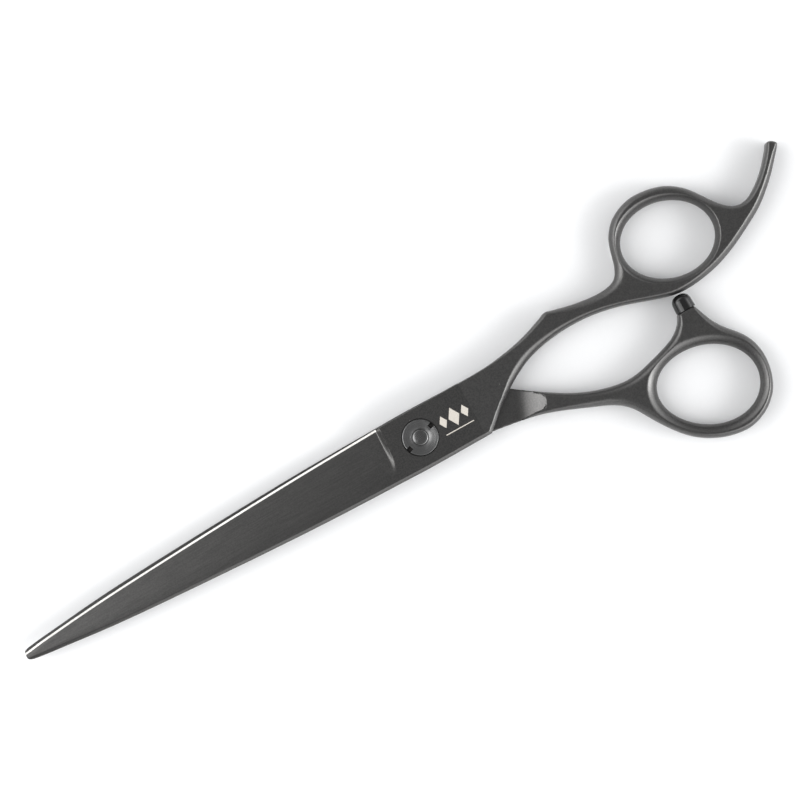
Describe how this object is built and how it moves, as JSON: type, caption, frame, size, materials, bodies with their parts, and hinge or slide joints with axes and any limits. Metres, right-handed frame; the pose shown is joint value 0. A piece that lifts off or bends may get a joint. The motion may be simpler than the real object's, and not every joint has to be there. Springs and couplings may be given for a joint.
{
  "type": "hair cutting shears",
  "caption": "Long hair cutting shears with offset finger and thumb rings, a curved finger rest, a rubber bumper and a notched tension disc at the pivot.",
  "frame": {"origin": "the pivot axis where it meets the outer face of the thumb half, which the closed shears lie on", "axes": "+X from the pivot to the blade tips, +Y towards the thumb ring's side, +Z out of the face that carries the tension disc"},
  "size_m": [0.2085, 0.06, 0.0054],
  "materials": {
    "blade_coating": "satin black coating over lengthwise ground steel, bare at the cutting bevel",
    "handle_coating": "smooth satin black coating over polished forged steel",
    "turned_steel": "blackened steel with turning marks",
    "bearing_bronze": "plain turned bearing bronze",
    "nylon": "matt off-white nylon",
    "spring_steel": "bright rolled spring steel",
    "bumper_rubber": "glossy moulded black rubber"
  },
  "bodies": {
    "finger_half": {"finger_blade": "blade_coating", "finger_handle": "handle_coating", "pivot_bushing": "bearing_bronze", "spring_washer": "spring_steel"},
    "thumb_half": {"thumb_blade": "blade_coating", "thumb_handle": "handle_coating", "pivot_stud": "turned_steel", "ride_washer": "nylon", "bumper_stem": "spring_steel", "bumper_cap": "bumper_rubber"},
    "pressure_washer": {"pressure_washer": "nylon"},
    "tension_disc": {"tension_disc": "turned_steel"}
  },
  "joints": [
    {"name": "blade_pivot", "type": "hinge", "parent": "finger_half", "child": "thumb_half", "pos_m": [0, 0, 0], "axis": [0, 0, -1], "range_deg": [0, 110]},
    {"name": "washer_travel", "type": "slide", "parent": "thumb_half", "child": "pressure_washer", "axis": [0, 0, 1], "range_m": [-0.00002, 0.00024], "deforming": ["spring_washer"]},
    {"name": "disc_turn", "type": "hinge", "parent": "pressure_washer", "child": "tension_disc", "pos_m": [0, 0, 0], "axis": [0, 0, 1], "range_deg": [-15, 175]}
  ],
  "couplings": [
    {"joint": "disc_turn", "follows": "washer_travel", "rad_per_m": 12566}
  ]
}
